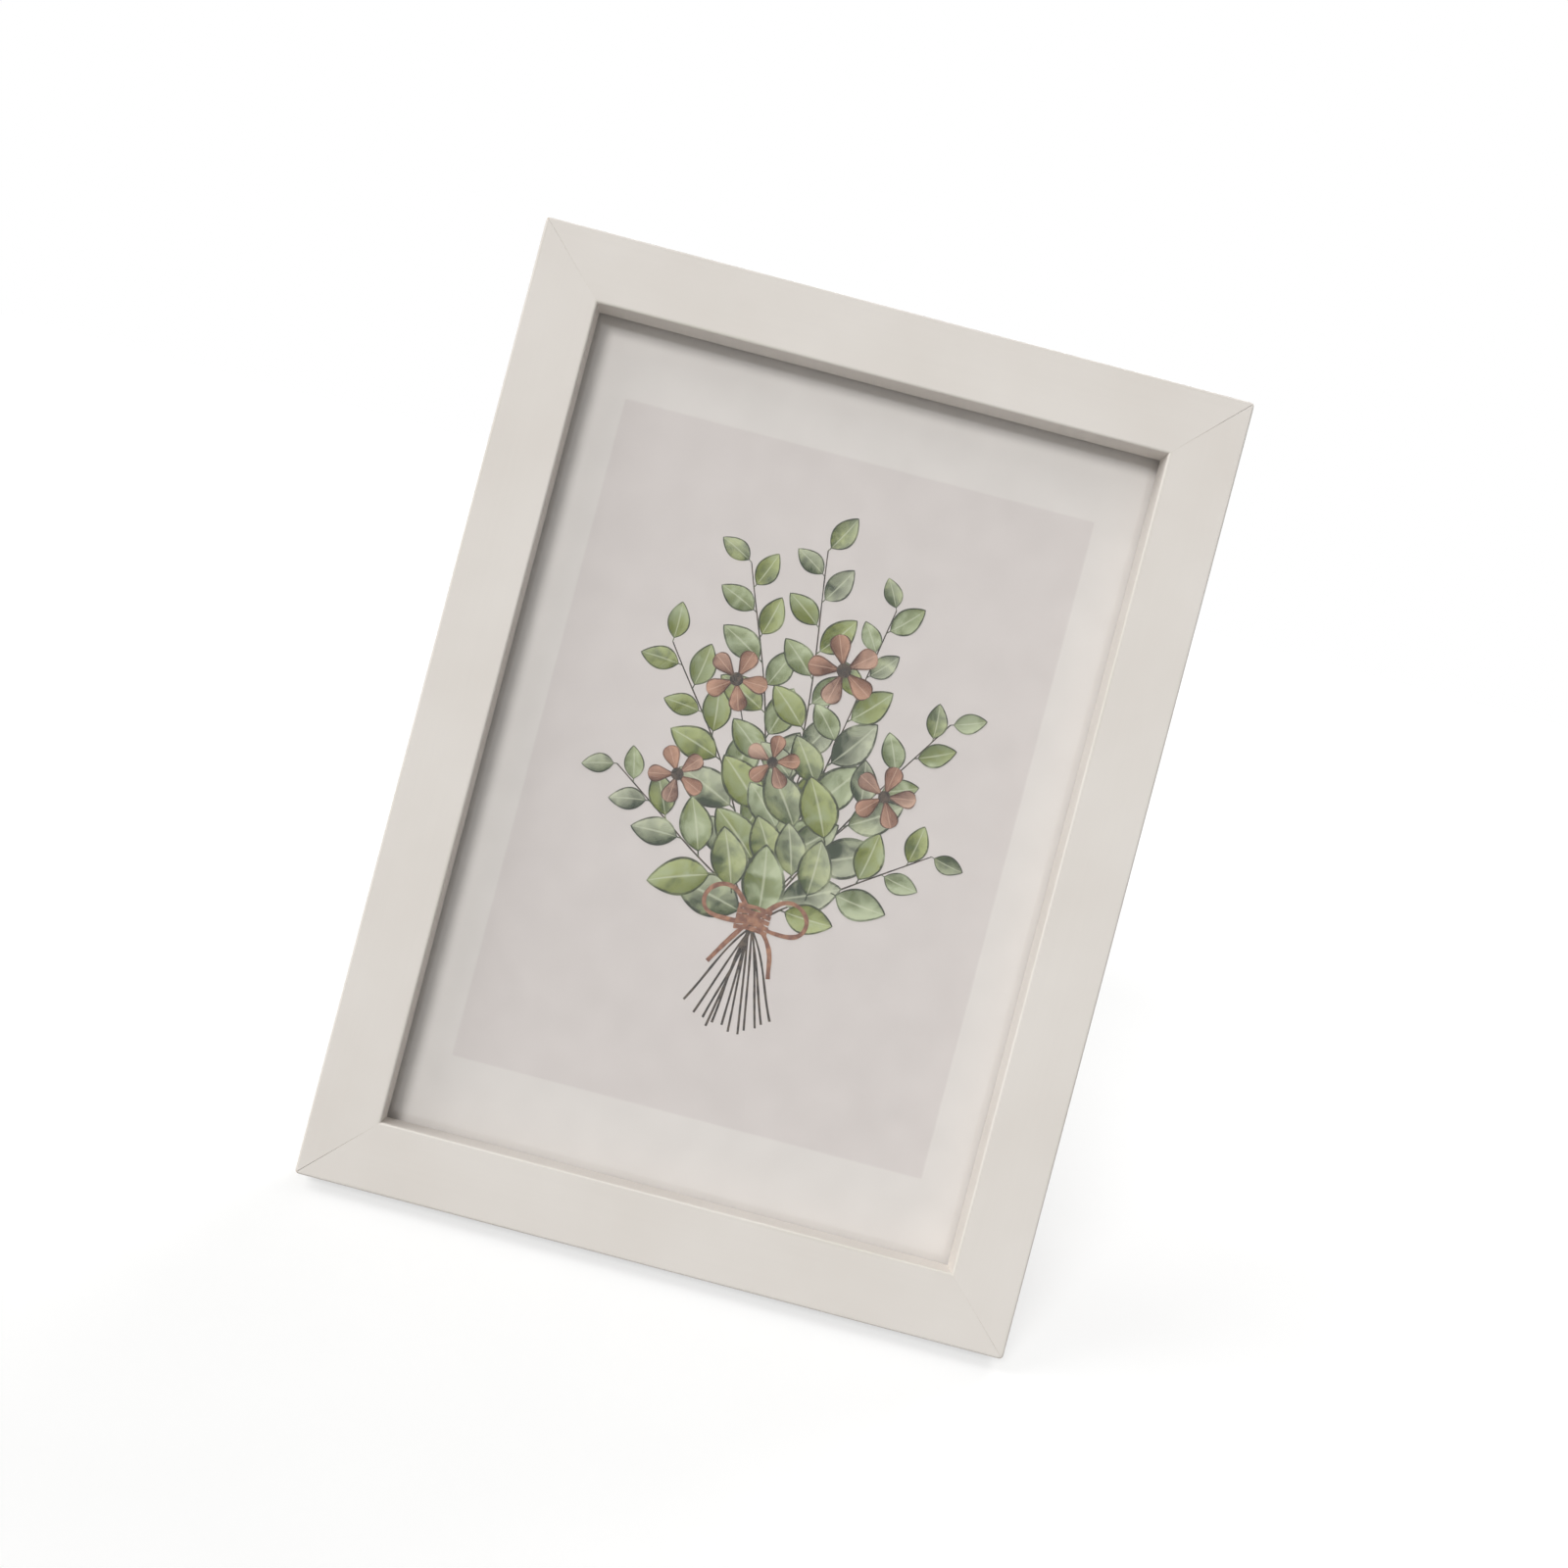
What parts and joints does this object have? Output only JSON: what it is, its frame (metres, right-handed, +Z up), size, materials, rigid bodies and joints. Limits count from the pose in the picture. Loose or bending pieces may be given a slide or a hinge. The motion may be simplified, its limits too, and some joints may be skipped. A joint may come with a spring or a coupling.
{
  "type": "picture frame",
  "caption": "White wooden picture frame with a flat mitred moulding, a deep reveal, clear plastic glazing and a printed sheet, standing on a hinged easel strut at its back.",
  "frame": {"origin": "On the surface that the frame stands on, under the middle of its box", "axes": "+Z up, +X to the right as seen from the front, -Y out of the front. The frame leans back 15 degrees on its open strut"},
  "size_m": [0.248, 0.1188, 0.3286],
  "materials": {
    "white_foil": "satin",
    "v_nail_steel": "satin",
    "clear_plastic": "polished",
    "printed_paper": "matte",
    "grey_card": "matte",
    "hardboard": "matte",
    "zinc_steel": "satin",
    "rubber": "matte"
  },
  "bodies": {
    "frame": {"rail_bottom": "white_foil", "rail_top": "white_foil", "rail_left": "white_foil", "rail_right": "white_foil", "v_nail_bottom_right_outer": "v_nail_steel", "v_nail_bottom_right_inner": "v_nail_steel", "v_nail_bottom_left_outer": "v_nail_steel", "v_nail_bottom_left_inner": "v_nail_steel", "v_nail_top_left_outer": "v_nail_steel", "v_nail_top_left_inner": "v_nail_steel", "v_nail_top_right_outer": "v_nail_steel", "v_nail_top_right_inner": "v_nail_steel", "glazing": "clear_plastic", "print_sheet": "printed_paper", "filler_card": "grey_card", "backing_board": "hardboard", "button_screw_bottom_left": "zinc_steel", "button_screw_bottom_right": "zinc_steel", "button_screw_top_left": "zinc_steel", "button_screw_top_right": "zinc_steel", "button_screw_left": "zinc_steel", "button_screw_right": "zinc_steel", "strut_leaf_back": "zinc_steel", "rivet_back_left": "zinc_steel", "rivet_back_right": "zinc_steel", "strut_pin": "zinc_steel", "hanger": "zinc_steel", "hanger_nail_left": "zinc_steel", "hanger_nail_right": "zinc_steel", "bumper_left": "rubber", "bumper_right": "rubber"},
    "strut": {"strut_leaf_leg": "zinc_steel", "strut_board": "hardboard", "rivet_leg_left": "zinc_steel", "rivet_leg_right": "zinc_steel"},
    "button_bottom_left": {"turn_button_bottom_left": "zinc_steel"},
    "button_bottom_right": {"turn_button_bottom_right": "zinc_steel"},
    "button_top_left": {"turn_button_top_left": "zinc_steel"},
    "button_top_right": {"turn_button_top_right": "zinc_steel"},
    "button_left": {"turn_button_left": "zinc_steel"},
    "button_right": {"turn_button_right": "zinc_steel"}
  },
  "joints": [
    {"name": "strut_hinge", "type": "hinge", "parent": "frame", "child": "strut", "pos_m": [0, 0.01795, 0.20802], "axis": [1, 0, 0], "range_deg": [-26, 0]},
    {"name": "button_bottom_left_turn", "type": "hinge", "parent": "frame", "child": "button_bottom_left", "pos_m": [-0.062, -0.03759, 0.00886], "axis": [0, 0.9659, -0.2588], "range_deg": [-90, 90]},
    {"name": "button_bottom_right_turn", "type": "hinge", "parent": "frame", "child": "button_bottom_right", "pos_m": [0.062, -0.03759, 0.00886], "axis": [0, 0.9659, -0.2588], "range_deg": [-90, 90]},
    {"name": "button_top_left_turn", "type": "hinge", "parent": "frame", "child": "button_top_left", "pos_m": [-0.062, 0.04433, 0.31457], "axis": [0, 0.9659, -0.2588], "range_deg": [-90, 90]},
    {"name": "button_top_right_turn", "type": "hinge", "parent": "frame", "child": "button_top_right", "pos_m": [0.062, 0.04433, 0.31457], "axis": [0, 0.9659, -0.2588], "range_deg": [-90, 90]},
    {"name": "button_left_turn", "type": "hinge", "parent": "frame", "child": "button_left", "pos_m": [-0.11475, 0.00337, 0.16171], "axis": [0, 0.9659, -0.2588], "range_deg": [-90, 90]},
    {"name": "button_right_turn", "type": "hinge", "parent": "frame", "child": "button_right", "pos_m": [0.11475, 0.00337, 0.16171], "axis": [0, 0.9659, -0.2588], "range_deg": [-90, 90]}
  ]
}
